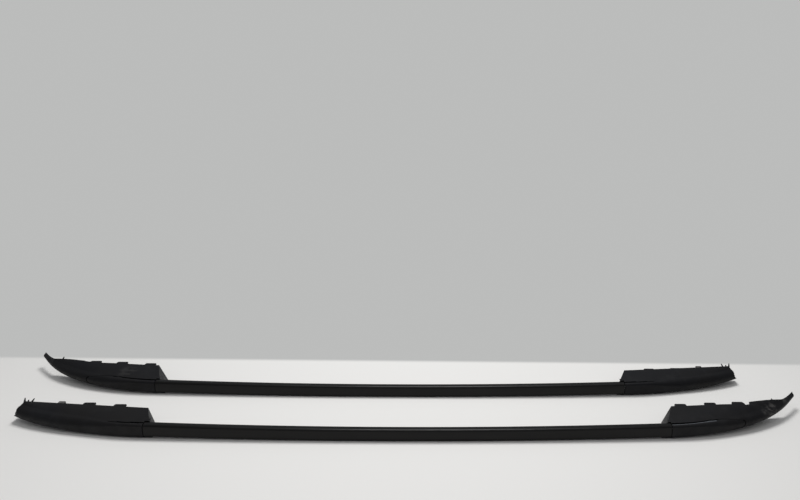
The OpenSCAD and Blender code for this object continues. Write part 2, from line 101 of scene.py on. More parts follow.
# Middle of each bar along X, and the place of its face at the middle
RIGHT_PLACE = ((RIGHT_BAR[0][0] + RIGHT_BAR[1][0]) / 2, RIGHT_BAR[0][1])
LEFT_PLACE = ((LEFT_BAR[0][0] + LEFT_BAR[1][0]) / 2, LEFT_BAR[0][1])


def length(name, text, default, low, high):
    """A size in metres that is given in millimetres."""
    return FloatProperty(name=name, description=text, default=default * MM,
                         min=low * MM, max=high * MM, unit="LENGTH", subtype="DISTANCE",
                         precision=4)


def colour(name, text, default):
    """A colour, as linear red, green and blue."""
    return FloatVectorProperty(name=name, description=text, default=default, size=3,
                               min=0.0, max=1.0, subtype="COLOR")


class RailBarSizes(PropertyGroup):
    """Sizes of the bent bar."""

    half: length("Half length", "From the bar's middle to its end", 572.5, 300, 900)
    depth: length("Depth", "Thickness of the bar, from its face back", 18, 10, 40)
    width: length("Width", "Height of the bar as it lies", 28.5, 15, 50)
    corner: length("Corner", "Radius of the bar's long edges", 5, 1, 9)
    wall: length("Wall", "Wall of the hollow bar", 2.2, 1, 5)
    side_radius: length("Side bend", "Radius of the bend towards the roof", 15000, 5000, 60000)
    plan_radius: length("Plan bend", "Radius of the bend up from the floor", 36000, 9000, 90000)


class CoverSizes(PropertyGroup):
    """Sizes of the moulded foot covers."""

    front_len: length("Front length", "From the bar's end to the nose's tip", 340, 250, 450)
    rear_len: length("Rear length", "From the bar's end to the blunt end", 315, 200, 400)
    height: length("Height", "Height of the roof edge as it lies", 42, 30, 60)
    crest: length("Crest", "Greatest height of the front cover", 48, 35, 70)
    wall: length("Wall", "Wall of the moulding", 2.5, 1.5, 5)
    lip: length("Lip", "How far the cover reaches below the bar", 2.4, 0.5, 5)
    groove_depth: length("Groove depth", "Depth of the groove at the seam", 3, 0.5, 5)
    groove_width: length("Groove width", "Width of the groove at the seam", 2.6, 1, 5)
    seam: length("Seam", "Gap between the bar's end and the cover", 1.8, 0.2, 3)
    tongue: length("Front tongue", "Reach of the band's rounded end", 177, 100, 230)
    rear_tongue: length("Rear tongue", "Reach of the rear band's end", 98, 60, 200)
    tab_reach: length("Tab reach", "How far the tabs stand out of the roof edge", 9, 3, 15)
    tab_len: length("Tab length", "Length of each tab", 28, 10, 50)


class RailColours(PropertyGroup):
    """Colours of the finishes."""

    paint: colour("Bar paint", "Satin black paint on the bars", (0.0036, 0.0033, 0.0032))
    moulding: colour("Moulding", "Black plastic of the covers", (0.0054, 0.0055, 0.0061))
    # Painted shade: this near-black colour along the groove stands in for the shade in its recess
    groove: colour("Groove", "Dark line of the groove round the band", (0.0012, 0.0012, 0.0013))
    # Painted highlight: this lighter colour on the band's upper edge stands in for the light its
    # rounded edge catches
    edge: colour("Edge", "Lighter line on the band's edge", (0.055, 0.060, 0.068))
    alloy: colour("Alloy", "Cast feet inside the covers", (0.50, 0.51, 0.52))
    zinc: colour("Zinc", "Zinc plated screws, bushes and clips", (0.55, 0.55, 0.53))
    rubber: colour("Rubber", "Pads under the feet", (0.020, 0.020, 0.021))
    foam: colour("Foam", "Grey block at the rear cover", (0.11, 0.105, 0.10))
    floor: colour("Floor", "Pale surface that the rails lie on", (0.80, 0.79, 0.77))
    back: colour("Background", "Even grey behind the rails", (0.50, 0.505, 0.50))


# ---- numbers shared by the shapes, in millimetres --------------------------------------


def sizes(side="right"):
    """All sizes in millimetres, with the places of the bar's end worked out from them."""
    scene = bpy.context.scene
    bar = scene.rail_bar_sizes
    cover = scene.rail_cover_sizes
    out = {k: getattr(bar, k) / MM for k in RailBarSizes.__annotations__}
    out.update({"cover_" + k: getattr(cover, k) / MM for k in CoverSizes.__annotations__})
    out["end_y"] = out["half"] ** 2 / (2 * out["side_radius"])
    out["end_z"] = out["half"] ** 2 / (2 * out["plan_radius"])
    out["slope"] = out["half"] / out["side_radius"]
    out["notch"] = NOTCH_DEPTH[side]
    # Switch for the painted highlight on the band's edge
    out["edge_line"] = PAINTED_HIGHLIGHT[side]
    return out


def smooth(t):
    """Half a cosine wave from 0 to 1, held flat outside 0..1."""
    return (1 - np.cos(np.pi * np.clip(t, 0, 1))) / 2


def ease(a, b, t):
    """From a to b along the half wave."""
    return a + (b - a) * smooth(t)


def mix(a, b, t):
    """Straight line from a to b."""
    return a + (b - a) * t


# Stations are measured from the bar's end, places back from the face at the bar's middle.
# The front roof edge lies at FRONT_BASE up to the station FRONT_RISE and then runs back;
# between it and the face the nose keeps a width of FRONT_BLADE
FRONT_BASE, FRONT_RISE, FRONT_RUN, FRONT_BLADE = 85.0, 172.0, 0.25, 12.0
REAR_BASE, REAR_RUN = 69.0, math.tan(math.radians(5.7))
# Far end of the face's lower edge, and its guide: how long it is and how it is turned
NOSE_Y, NOSE_Z, NOSE_GUIDE, NOSE_TURN = 150, 31, 50, math.radians(45)
TAIL_Y, TAIL_Z, TAIL_GUIDE, TAIL_TURN = 80, 15, 90, math.radians(30)
# Near guide of the face's lower edge: how long it is and its height over the bar's end
FRONT_GUIDE, FRONT_GUIDE_Z = 240, 8
REAR_GUIDE, REAR_GUIDE_Z = 90, -3.6
# Height of the roof edge at the nose's tip
NOSE_ROOF_Z = 38
# The upper edge turns from the bar's sharp one to a smooth skin over these stations
SOFT_FROM, SOFT_RUN = 8, 70
# Least width of the band's top, and how far behind it the skirt starts
BAND, BAND_BACK = 6.0, 2.6
# Bow of the bottom over its fall, and how far the skirt swells in its middle
SOLE_BOW, SKIRT_BULGE = 0.4, 1.2
# Gap that a cover keeps from the bar
CLEAR = 0.3
# Each cover's end wall: place at the top behind the bar, lean to the roof edge, draft
END_WALL = {"front": (1.0, 20.0, 23.0), "rear": (4.8, 16.0, 16.0)}
# Radius of the face's upper edge far from the bar
CROWN = {"front": 14.0, "rear": 17.0}
# How far from the bar's end the end wall's lean reaches
LEAN_REACH = 64
# The hollow ends at this share of the front cover and this far from the rear cover's end
FRONT_HOLLOW, REAR_SOLID = 0.66, 16
# Cut of the blunt end: how far back it is at which height, and over which length it grows
CUT_Z, CUT_BACK, CUT_RUN = (15, 20, 34, 42, 46), (0, 7, 10, 19, 23), 90
# Groove round the band: how far it lies behind the upper edge and below the lower one in
# the unrolled skin, its round end, and the stations where its two lines start to bend
GROOVE_UP, GROOVE_LOW, TONGUE_RADIUS, TONGUE_MIDDLE = 10, -6, 8.0, 24.0
TONGUE_UP_FROM, TONGUE_LOW_FROM = 115, 70
# Radius of the cover's edge at the seam
SEAM_ROUND = 0.9
# Notch in the front roof edge: station, length and length of each flank
NOTCH_FROM, NOTCH_LEN, NOTCH_RAMP = 191.0, 12.0, 1.6
# The photograph shows less of the left rail's notch and rear tabs, and no lighter line
NOTCH_DEPTH = {"right": 7.0, "left": 1.0}
# This switch puts the painted highlight on the band's edge: on for the right rail, off for the
# left
PAINTED_HIGHLIGHT = {"right": 1.0, "left": 0.0}
# Stations of the tabs; the rear ones also with how far they are shortened
FRONT_TABS = (42, 111, 176)
REAR_TABS = {"right": ((78, 0.0), (148, 0.0)), "left": ((78, 5.0), (148, 7.5))}
TAB_LEAN = math.radians(9)
# Locating pin: distance from the nose's tip, radii, how deep its root lies behind and below
# the roof edge, and lean in degrees
PIN_FROM_TIP, PIN_FOOT, PIN_TIP, PIN_ROOT, PIN_LOW = 72, 2.4, 1.1, 4, 3.6
PIN_LEAN = {"right": 6, "left": 24}
# Broken ribs at the blunt end: radii, and how deep their root lies behind and below the
# roof edge; for each one its distance from the end, length, lean up and sideways in degrees
SPIKE_FOOT, SPIKE_TIP, SPIKE_ROOT, SPIKE_LOW = 2.6, 0.9, 3, 0.4
BROKEN_RIBS = ((36, 13, 34, -16), (28, 9, 30, 6), (21, 14, 30, 20))
# Stations of the cross walls, how far they stay below the roof edge and how thick they are
FRONT_RIBS, REAR_RIBS, RIB_SHORT, RIB_WALL = (206, 236), (188, 250), 6, 2.0
# Foam block: station, reach out of the roof edge, root, width, thickness, rounding and lean
FOAM_AT, FOAM_REACH, FOAM_ROOT, FOAM_WIDE, FOAM_THICK = 216.0, 14.0, 12, 15.0, 7.0
FOAM_ROUND, FOAM_LEAN = 1.6, math.radians(6.5)


def crown_radius(z, s, kind, room):
    """Radius of the face's upper edge: sharp at the bar, soft beyond the tongue."""
    return np.minimum(ease(z["corner"], CROWN[kind], (s - 40) / 120), room)


def face_line(points):
    """Cubic curve of the face's lower edge, as tables of station, y and z."""
    t = np.linspace(-0.25, 1, 700)[:, None]
    weights = ((1 - t) ** 3, 3 * t * (1 - t) ** 2, 3 * t * t * (1 - t), t ** 3)
    c = sum(w * np.array(q, float) for w, q in zip(weights, points))
    return c[:, 0], c[:, 1], c[:, 2]


def front_face(z):
    """The front cover's face: along the bar first, then swept back to the nose's tip."""
    n = z["cover_front_len"]
    return face_line([
        [0, z["end_y"], z["end_z"] - z["cover_lip"]],
        [FRONT_GUIDE, z["end_y"] + FRONT_GUIDE * z["slope"], z["end_z"] + FRONT_GUIDE_Z],
        [n - NOSE_GUIDE * math.cos(NOSE_TURN), NOSE_Y - NOSE_GUIDE * math.cos(NOSE_TURN),
         NOSE_Z - 2],
        [n, NOSE_Y, NOSE_Z],
    ])


def rear_face(z):
    """The rear cover's face: along the bar first, then bent back to the blunt end."""
    n = z["cover_rear_len"]
    return face_line([
        [0, z["end_y"], z["end_z"] - z["cover_lip"]],
        [REAR_GUIDE, z["end_y"] + REAR_GUIDE * z["slope"], z["end_z"] + REAR_GUIDE_Z],
        [n - TAIL_GUIDE * math.cos(TAIL_TURN), TAIL_Y - TAIL_GUIDE * math.sin(TAIL_TURN),
         TAIL_Z - 7],
        [n, TAIL_Y, TAIL_Z],
    ])


def front_roof(s):
    """Place of the front cover's roof edge at station s."""
    return FRONT_BASE + FRONT_RUN * np.maximum(0, s - FRONT_RISE)


def rear_roof(s):
    """Place of the rear cover's roof edge at station s."""
    return REAR_BASE + s * REAR_RUN


def front_section(z, s):
    """Heights and places of the front cover's section over station s."""
    tab_s, tab_y, tab_z = front_face(z)
    n = z["cover_front_len"]
    face_y, low_z = np.interp(s, tab_s, tab_y), np.interp(s, tab_s, tab_z)
    roof_y = np.maximum(front_roof(s), face_y + FRONT_BLADE)
    after = (s - FRONT_RISE) / (n - FRONT_RISE)
    roof_z = np.where(s < FRONT_RISE,
                      ease(z["cover_height"], z["cover_crest"], s / FRONT_RISE),
                      ease(z["cover_crest"], NOSE_ROOF_Z, after ** 2) + 1.5 * smooth(after * 6))
    top_z = mix(z["end_z"] + z["width"], NOSE_ROOF_Z, s / n)
    corner = mix(z["corner"], 3, np.clip(s / n, 0, 1))
    into = s - NOTCH_FROM + NOTCH_RAMP / 2
    notch = smooth(into / NOTCH_RAMP) - smooth((into - NOTCH_LEN) / NOTCH_RAMP)
    return {
        "face_y": face_y, "low_z": low_z, "top_z": top_z, "corner": corner,
        "crown": crown_radius(z, s, "front", top_z - low_z - corner - 0.5),
        "soft": smooth((s - SOFT_FROM) / SOFT_RUN),
        "roof_y": roof_y, "roof_z": roof_z, "notch": z["notch"] * notch,
        "sole_z": ease(0, low_z + 1, (s - FRONT_RISE) / (n - FRONT_RISE - 10)),
    }


def rear_section(z, s):
    """Heights and places of the rear cover's section over station s."""
    tab_s, tab_y, tab_z = rear_face(z)
    face_y, low_z = np.interp(s, tab_s, tab_y), np.interp(s, tab_s, tab_z)
    top = z["end_z"] + z["width"]
    top_z = mix(top, top + 3, s / z["cover_rear_len"])
    return {
        "face_y": face_y, "low_z": low_z, "top_z": top_z,
        "corner": np.full_like(s, z["corner"]), "notch": np.zeros_like(s),
        "crown": crown_radius(z, s, "rear", top_z - low_z - z["corner"] - 0.5),
        "soft": smooth((s - SOFT_FROM) / SOFT_RUN),
        "roof_y": rear_roof(s), "roof_z": np.full_like(s, z["cover_height"]),
        "sole_z": ease(0, low_z - 2, (s - 160) / 150),
    }


# Columns round the outline: bottom, lower edge, face, upper edge, band's top, skirt
OUTLINE_COLUMNS = (14, 9, 34, 14, 12, 34)
INNER_COLUMNS = (10, 5, 14, 5, 4, 16)


def outline(sec, columns, wall, drop):
    """Half-open outline of a section, from the outer roof edge round to the inner one.

    Each part has its own share u = 0..1: the bottom is a bowed line, the edges are arcs,
    the face is straight, and the band's top and the skirt are lines. Near the bar the band's
    top is level. Further on the upper arc ends at the angle of the line that touches it and
    meets the roof edge, so that band and skirt become one smooth surface. wall moves the
    outline inwards, drop lowers the band's top, and the notch cuts the skirt short.
    """
    corner = sec["corner"] - wall * 0.5
    crown = np.maximum(sec["crown"] - wall - drop, 0.5)
    face_y, low_z = sec["face_y"] + wall, sec["low_z"] + wall
    top_z = sec["top_z"] - wall - drop
    roof_y, roof_z, sole_z = sec["roof_y"], sec["roof_z"] - wall, sec["sole_z"] + wall
    back_y = sec["face_y"] + np.maximum(BAND, sec["crown"] + 0.5) + BAND_BACK + wall
    tilt = np.zeros_like(top_z)
    for _ in range(4):
        end_y = face_y + crown * (1 - np.sin(tilt))
        end_z = top_z - crown * (1 - np.cos(tilt))
        tilt = sec["soft"] * np.arctan2(roof_z - end_z, np.maximum(roof_y - end_y, 4))
    k = np.concatenate([np.full(n, i) for i, n in enumerate(columns)])
    u = np.concatenate([
        np.linspace(0, 1, n, endpoint=(i == len(columns) - 1)) for i, n in enumerate(columns)
    ])
    a = u * np.pi / 2
    arc = u * (np.pi / 2 - tilt)
    band_z = end_z + np.tan(tilt) * (back_y - end_y)
    skirt = np.minimum(u, 1 - sec["notch"] / np.maximum(roof_y - back_y, 8))
    bow = SOLE_BOW * (sole_z - low_z)
    bulge = SKIRT_BULGE * np.sin(np.pi * skirt) * (wall == 0)
    parts_y = [
        mix(roof_y, face_y + corner, u),
        face_y + corner * (1 - np.sin(a)),
        face_y + 0 * u,
        face_y + crown * (1 - np.cos(arc)),
        mix(end_y, back_y, u),
        mix(back_y, roof_y, skirt),
    ]
    parts_z = [
        mix(sole_z, low_z, u) + bow * u * (1 - u),
        low_z + corner * (1 - np.cos(a)),
        mix(low_z + corner, top_z - crown, u),
        top_z - crown * (1 - np.sin(arc)),
        mix(end_z, band_z + drop, u),
        mix(band_z + drop, roof_z, skirt) + bulge,
    ]
    y = np.choose(k[None, :].repeat(len(face_y), 0), parts_y)
    zz = np.choose(k[None, :].repeat(len(face_y), 0), parts_z)
    return y, zz


def outward(y, zz):
    """Unit normals of an outline that runs bottom, face, top: the tangent turned a quarter."""
    dy, dz = np.gradient(y, axis=1), np.gradient(zz, axis=1)
    size = np.maximum(np.hypot(dy, dz), 1e-9)
    return -dz / size, dy / size


def unrolled(sec, y, zz):
    """Height measured along the skin: equal to z on the face, growing round the upper edge."""
    step = np.hypot(np.diff(y, axis=1), np.diff(zz, axis=1))
    run = np.concatenate([np.zeros((len(y), 1)), np.cumsum(step, axis=1)], axis=1)
    start = sum(OUTLINE_COLUMNS[:2])
    base = sec["low_z"][:, start] + sec["corner"][:, start]
    return run - run[:, start:start + 1] + base[:, None]


def tongue_distance(s, h, up, low, tip, radius, middle):
    """Distance from the band's contour in the unrolled skin.

    The contour is the curve up(s) above and low(s) below, closed by a round end of the
    given radius whose far point is at the station tip.
    """
    body = np.minimum(np.abs(h - up), np.abs(h - low))
    centre = tip - radius
    ring = np.abs(np.hypot(s - centre, h - middle) - radius)
    return np.where(s < centre, body, ring)


def mesh_object(name, points, faces, materials, smooth_faces=True, marks=None):
    """One mesh object from points in metres and faces as rows of four corners.

    marks gives each face the number of its material, if there are several.
    """
    mesh = bpy.data.meshes.new(name)
    mesh.from_pydata(points.tolist(), [], faces)
    for material in materials:
        mesh.materials.append(material)
    if marks is not None:
        mesh.polygons.foreach_set("material_index", np.array(marks, dtype=np.int32))
    mesh.validate()
    mesh.polygons.foreach_set("use_smooth", np.full(len(mesh.polygons), smooth_faces))
    mesh.set_sharp_from_angle(angle=SHARP_ANGLE)
    obj = bpy.data.objects.new(name, mesh)
    bpy.context.scene.collection.objects.link(obj)
    return obj


def grid_faces(rows, cols, wrap, flip=False):
    """Corner numbers of a grid's quads, with its columns closed into a loop if wrap."""
    r = np.arange(rows - 1)[:, None]
    c = np.arange(cols if wrap else cols - 1)[None, :]
    n = (c + 1) % cols
    quads = np.stack([r * cols + c, r * cols + n, (r + 1) * cols + n, (r + 1) * cols + c], -1)
    quads = quads.reshape(-1, 4)
    return quads[:, ::-1] if flip else quads


def strip_cap(row, outer, total):
    """Faces that close a C-shaped loop: each outer column joined to the inner one facing it."""
    inner = total - outer
    i = np.arange(outer - 1)
    a = np.round(i * (inner - 1) / (outer - 1)).astype(int)
    b = np.round((i + 1) * (inner - 1) / (outer - 1)).astype(int)
    base = row * total
    quads = np.stack([base + i, base + i + 1, base + total - 1 - b, base + total - 1 - a], -1)
    out = []
    for q in quads.tolist():
        out.append([v for n, v in enumerate(q) if v not in q[:n]])
    return out


class Patch:
    """Collects grids of points and their faces for one object."""

    def __init__(self):
        self.points, self.faces, self.marks, self.count = [], [], [], 0

    def add(self, points, faces, marks=None):
        """Adds a block of points, the faces that number them and their material numbers."""
        rows = faces.tolist() if hasattr(faces, "tolist") else faces
        self.faces += [[v + self.count for v in f] for f in rows]
        self.marks += [0] * len(rows) if marks is None else list(marks)
        self.points.append(points.reshape(-1, 3))
        self.count += len(self.points[-1])


def block(x0, x1, y0, y1, z0, z1, round_off, cells=10):
    """Closed block with rounded edges: a cube grid drawn to a superellipsoid-like skin.

    Each point of a cube's skin is split into a core box, smaller by round_off, and a ball
    of that radius round it. Points that the sides share are merged.
    """
    lin = np.linspace(-1, 1, cells)
    v = np.sign(lin) * np.abs(lin) ** 0.6
    a, b = np.meshgrid(v, v, indexing="ij")
    one = np.ones_like(a)
    sides = [(one, a, b), (-one, b, a), (b, one, a), (a, -one, b), (a, b, one), (b, a, -one)]
    half = np.array([x1 - x0, y1 - y0, z1 - z0]) / 2
    mid = np.array([x1 + x0, y1 + y0, z1 + z0]) / 2
    points, faces = [], []
    quads = grid_faces(cells, cells, False, flip=True)
    for n, side in enumerate(sides):
        p = np.stack(side, -1).reshape(-1, 3) * half
        core = np.clip(p, -half + round_off, half - round_off)
        d = p - core
        size = np.linalg.norm(d, axis=1, keepdims=True)
        p = core + np.where(size > 1e-9, d / np.maximum(size, 1e-9), 0) * round_off
        points.append(p + mid)
        faces.append(quads + n * cells * cells)
    points, number = np.unique(np.round(np.concatenate(points), 6), axis=0, return_inverse=True)
    return points, number.reshape(-1)[np.concatenate(faces)]


def to_metres(points, side, turned):
    """From a rail's own millimetres to the row frame: the left rail is the right one's mirror.

    turned mirrors a rear cover, which is worked out as if it pointed forward.
    """
    sign = -1 if turned else 1
    place = RIGHT_PLACE
    if side == "left":
        sign, place = -sign, LEFT_PLACE
    out = points * [sign, 1, 1] + [place[0], place[1], 0]
    return out * MM, sign < 0


def finish_piece(name, patch, materials, side, turned, nodes):
    """Makes a piece from its patch and hangs it on the frame."""
    points, mirrored = to_metres(np.concatenate(patch.points), side, turned)
    faces = [f[::-1] for f in patch.faces] if mirrored else patch.faces
    obj = mesh_object(name, points, faces, materials, marks=patch.marks)
    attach(obj, "root")
    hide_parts(*nodes)


# ---- finishes --------------------------------------------------------------------------


class Finish:
    """A node material under construction, read from Object coordinates."""

    def __init__(self, name):
        self.material = bpy.data.materials.new(name)
        self.material.use_nodes = True
        self.tree = self.material.node_tree
        self.shader = self.tree.nodes["Principled BSDF"]
        self.coords = self.tree.nodes.new("ShaderNodeTexCoord").outputs["Object"]

    def node(self, kind, inputs=None, **settings):
        """Adds a node; inputs maps a socket to a value or to an output to link."""
        n = self.tree.nodes.new("ShaderNode" + kind)
        for key, value in settings.items():
            setattr(n, key, value)
        for key, value in (inputs or {}).items():
            if isinstance(value, bpy.types.NodeSocket):
                self.tree.links.new(value, n.inputs[key])
            else:
                n.inputs[key].default_value = value
        return n

    def noise(self, scale, detail=3.0, stretch=(1, 1, 1), rough=0.55):
        """Noise value over Object coordinates, stretched by an axis each."""
        mapped = self.node("Mapping", {"Vector": self.coords, "Scale": stretch}).outputs[0]
        n = self.node("TexNoise", {"Vector": mapped, "Scale": scale, "Detail": detail,
                                   "Roughness": rough})
        return n.outputs["Fac"]

    def ramp(self, value, low, high, out_low=0.0, out_high=1.0):
        """Smooth step of a value from one range to another."""
        n = self.node("MapRange", {"Value": value, "From Min": low, "From Max": high,
                                   "To Min": out_low, "To Max": out_high},
                      interpolation_type="SMOOTHSTEP")
        return n.outputs[0]

    def math(self, operation, a, b=0.0):
        """One sum on two values."""
        return self.node("Math", {0: a, 1: b}, operation=operation).outputs[0]

    def blend(self, fac, a, b):
        """Mixes two colours."""
        n = self.node("Mix", data_type="RGBA")
        for key, value in (("Factor", fac), ("A", a), ("B", b)):
            sock = [s for s in n.inputs if s.name == key and s.enabled][0]
            if isinstance(value, bpy.types.NodeSocket):
                self.tree.links.new(value, sock)
            else:
                sock.default_value = value
        return [s for s in n.outputs if s.enabled][0]

    def bump(self, height, distance, strength=1.0, below=None):
        """Bump node, chained on another one's normal if given."""
        inputs = {"Height": height, "Distance": distance, "Strength": strength}
        if below is not None:
            inputs["Normal"] = below
        return self.node("Bump", inputs).outputs["Normal"]

    def near(self, x, y, z, radius):
        """1 near a point given in metres, falling to 0 at the radius."""
        d = self.node("VectorMath", {0: self.coords, 1: (x, y, z)}, operation="DISTANCE")
        return self.ramp(d.outputs["Value"], 0.3 * radius, radius, 1.0, 0.0)

    def set(self, socket, value):
        """Sets or links a socket of the shader."""
        if isinstance(value, bpy.types.NodeSocket):
            self.tree.links.new(value, self.shader.inputs[socket])
        else:
            self.shader.inputs[socket].default_value = value


def rgba(c, k=1.0):
    """A colour property with a brightness factor, as four numbers."""
    return (c[0] * k, c[1] * k, c[2] * k, 1.0)


def paint_finish(c):
    """Satin black paint: faint orange peel and lighter streaks along the bar."""
    f = Finish("satin black paint")
    streak = f.ramp(f.noise(60, 4, (0.05, 1, 1)), 0.50, 0.80)
    cloud = f.ramp(f.noise(9, 3), 0.45, 0.75)
    dust = f.math("MULTIPLY", streak, cloud)
    f.set("Base Color", f.blend(dust, rgba(c), rgba(c, 2.2)))
    f.set("Roughness", f.ramp(f.noise(35, 3, (0.2, 1, 1)), 0.3, 0.7, 0.30, 0.42))
    f.set("Specular IOR Level", 0.20)
    f.set("Normal", f.bump(f.noise(700, 2), 0.00004, 0.35))
    return f.material


def moulding_finish(c, scuffs):
    """Black moulded plastic: fine grain, cloudy tints and pale scuffs.

    Each scuff is a place and a radius in millimetres and a strength from 0 to 1.
    """
    f = Finish("black moulding")
    tint = f.ramp(f.noise(7, 2), 0.35, 0.65)
    cool = f.blend(tint, rgba((c[0] * 0.95, c[1] * 0.97, c[2] * 1.12)),
                   rgba((c[0] * 1.10, c[1] * 1.02, c[2] * 0.98)))
    grey = f.ramp(f.noise(24, 5), 0.50, 0.78)
    base = f.blend(grey, cool, rgba(c, 1.9))
    scratch = f.ramp(f.noise(95, 5, (0.45, 1, 1), 0.7), 0.44, 0.60)
    marks = None
    for x, y, z, radius, share in scuffs:
        here = f.math("MULTIPLY", f.near(x * MM, y * MM, z * MM, radius * MM), share)
        marks = here if marks is None else f.math("MAXIMUM", marks, here)
    if marks is not None:
        pale = f.math("MULTIPLY", scratch, marks)
        base = f.blend(pale, base, SCUFF_COLOUR)
    f.set("Base Color", base)
    f.set("Roughness", f.ramp(f.noise(50, 4), 0.3, 0.7, 0.44, 0.60))
    f.set("Specular IOR Level", 0.17)
    fine = f.bump(f.noise(1500, 2), 0.00005, 0.5)
    f.set("Normal", f.bump(f.noise(45, 3), 0.0004, 0.25, fine))
    return f.material


def painted_light_strip(name, c, rough, shine):
    """Narrow strips of painted shade and painted highlight on the covers.

    One colour with a faint change of roughness.
    """
    f = Finish(name)
    cloud = f.ramp(f.noise(60, 3), 0.3, 0.7)
    f.set("Base Color", f.blend(cloud, rgba(c, 0.8), rgba(c, 1.2)))
    f.set("Roughness", f.ramp(f.noise(90, 3), 0.3, 0.7, rough - 0.05, rough + 0.05))
    f.set("Specular IOR Level", shine)
    return f.material


def alloy_finish(c):
    """Cast aluminium: sandy skin with duller hollows."""
    f = Finish("cast alloy")
    cloud = f.ramp(f.noise(40, 5), 0.35, 0.7)
    f.set("Base Color", f.blend(cloud, rgba(c, 0.8), rgba(c)))
    f.set("Metallic", 1.0)
    f.set("Roughness", f.ramp(f.noise(90, 4), 0.3, 0.7, 0.42, 0.62))
    f.set("Normal", f.bump(f.noise(420, 4), 0.0002, 0.4))
    return f.material


def zinc_finish(c):
    """Zinc plate: bright grey with faint yellow and blue passivation clouds."""
    f = Finish("zinc plate")
    cloud = f.ramp(f.noise(120, 3), 0.4, 0.7)
    f.set("Base Color", f.blend(cloud, rgba(c), rgba((c[0] * 0.95, c[1] * 0.92, c[2] * 0.8))))
    f.set("Metallic", 1.0)
    f.set("Roughness", f.ramp(f.noise(200, 3), 0.3, 0.7, 0.24, 0.40))
    f.set("Normal", f.bump(f.noise(900, 2), 0.00004, 0.3))
    return f.material


def rubber_finish(c):
    """Soft rubber: matt, with dust in its pores."""
    f = Finish("black rubber")
    dust = f.ramp(f.noise(80, 5), 0.5, 0.8)
    f.set("Base Color", f.blend(dust, rgba(c), rgba(c, 2.4)))
    f.set("Roughness", f.ramp(f.noise(60, 3), 0.3, 0.7, 0.72, 0.88))
    f.set("Normal", f.bump(f.noise(650, 3), 0.0001, 0.4))
    return f.material


def foam_finish(c):
    """Firm grey foam: open pores and soiled patches."""
    f = Finish("grey foam")
    soil = f.ramp(f.noise(90, 4), 0.42, 0.7)
    f.set("Base Color", f.blend(soil, rgba(c), rgba(c, 0.6)))
    f.set("Roughness", f.ramp(f.noise(120, 3), 0.3, 0.7, 0.75, 0.9))
    pores = f.node("TexVoronoi", {"Vector": f.coords, "Scale": 900.0}).outputs["Distance"]
    f.set("Normal", f.bump(pores, 0.0003, 0.5))
    return f.material


# ---- shapes ----------------------------------------------------------------------------


def bar_patch(z):
    """Hollow bent bar: a rounded rectangle carried along a circle in a tilted plane.

    The path from the middle is x = R sin(s/R), with R (1 - cos(s/R)) shared between y and z
    as the two bends ask; the section stays square to the path.
    """
    radius = 1 / math.hypot(1 / z["side_radius"], 1 / z["plan_radius"])
    tilt = math.atan2(z["side_radius"], z["plan_radius"])
    s = np.linspace(-z["half"], z["half"], 181)
    turn = s / radius
    lift = radius * (1 - np.cos(turn))
    mid = np.stack([radius * np.sin(turn), z["depth"] / 2 + lift * math.cos(tilt),
                    z["width"] / 2 + lift * math.sin(tilt)], -1)
    inward = np.stack([-np.sin(turn), np.cos(turn) * math.cos(tilt),
                       np.cos(turn) * math.sin(tilt)], -1)
    across = np.array([0, -math.sin(tilt), math.cos(tilt)])
    patch = Patch()
    loops = []
    for inset in (0.0, z["wall"]):
        corner = z["corner"] - inset
        a = np.linspace(0, np.pi / 2, 9)
        hy, hz = z["depth"] / 2 - inset, z["width"] / 2 - inset
        quarter = [(1, 1, 0), (-1, 1, 1), (-1, -1, 2), (1, -1, 3)]
        py = np.concatenate([sy * (hy - corner) + corner * np.cos(a + k * np.pi / 2)
                             for sy, sz, k in quarter])
        pz = np.concatenate([sz * (hz - corner) + corner * np.sin(a + k * np.pi / 2)
                             for sy, sz, k in quarter])
        # from the row's y and z to the tilted plane's own axes
        u = py * math.cos(tilt) + pz * math.sin(tilt)
        v = -py * math.sin(tilt) + pz * math.cos(tilt)
        loops.append(mid[:, None, :] + u[None, :, None] * inward[:, None, :]
                     + v[None, :, None] * across)
    rows, cols = loops[0].shape[:2]
    outer = grid_faces(rows, cols, True)
    inner = grid_faces(rows, cols, True, flip=True) + rows * cols
    j = np.arange(cols)
    n = (j + 1) % cols
    last = (rows - 1) * cols
    near = np.stack([j, j + rows * cols, n + rows * cols, n], -1)
    far = np.stack([last + j, last + n, last + n + rows * cols, last + j + rows * cols], -1)
    patch.add(np.concatenate([q.reshape(-1, 3) for q in loops]),
              np.concatenate([outer, inner, near, far]))
    return patch


def cover_rows(z, kind):
    """Stations of a cover from its inboard wall to its end, doubled where the shape steps.

    Returns the station a of each row, whether it lies inboard of the seam, and how far
    the hollow is open there, 0 to 1.
    """
    wall = z["cover_wall"]
    inboard = END_WALL[kind][0]
    n = z["cover_front_len"] if kind == "front" else z["cover_rear_len"]
    close = FRONT_HOLLOW * n if kind == "front" else n - REAR_SOLID
    seam = z["cover_seam"]
    opens = wall - inboard
    before = np.linspace(-inboard, seam, 6)
    after = [seam + np.array([0.0, 0.15, 0.4, 0.8, 1.4]), np.linspace(seam + 2.6, n * 0.55, 190),
             np.linspace(n * 0.55, n, 120)[1:]]
    if opens < seam:
        before = np.sort(np.append(before, [opens - 0.01, opens]))
    else:
        after.append(np.array([opens - 0.01, opens]))
    after = np.sort(np.concatenate(after))
    rows = np.concatenate([before, after])
    inside = np.arange(len(rows)) < len(before)
    hollow = np.where(rows >= opens - 0.005, 1.0, 0.0)
    hollow *= 1 - smooth((rows - close) / 10)
    return rows, inside, hollow


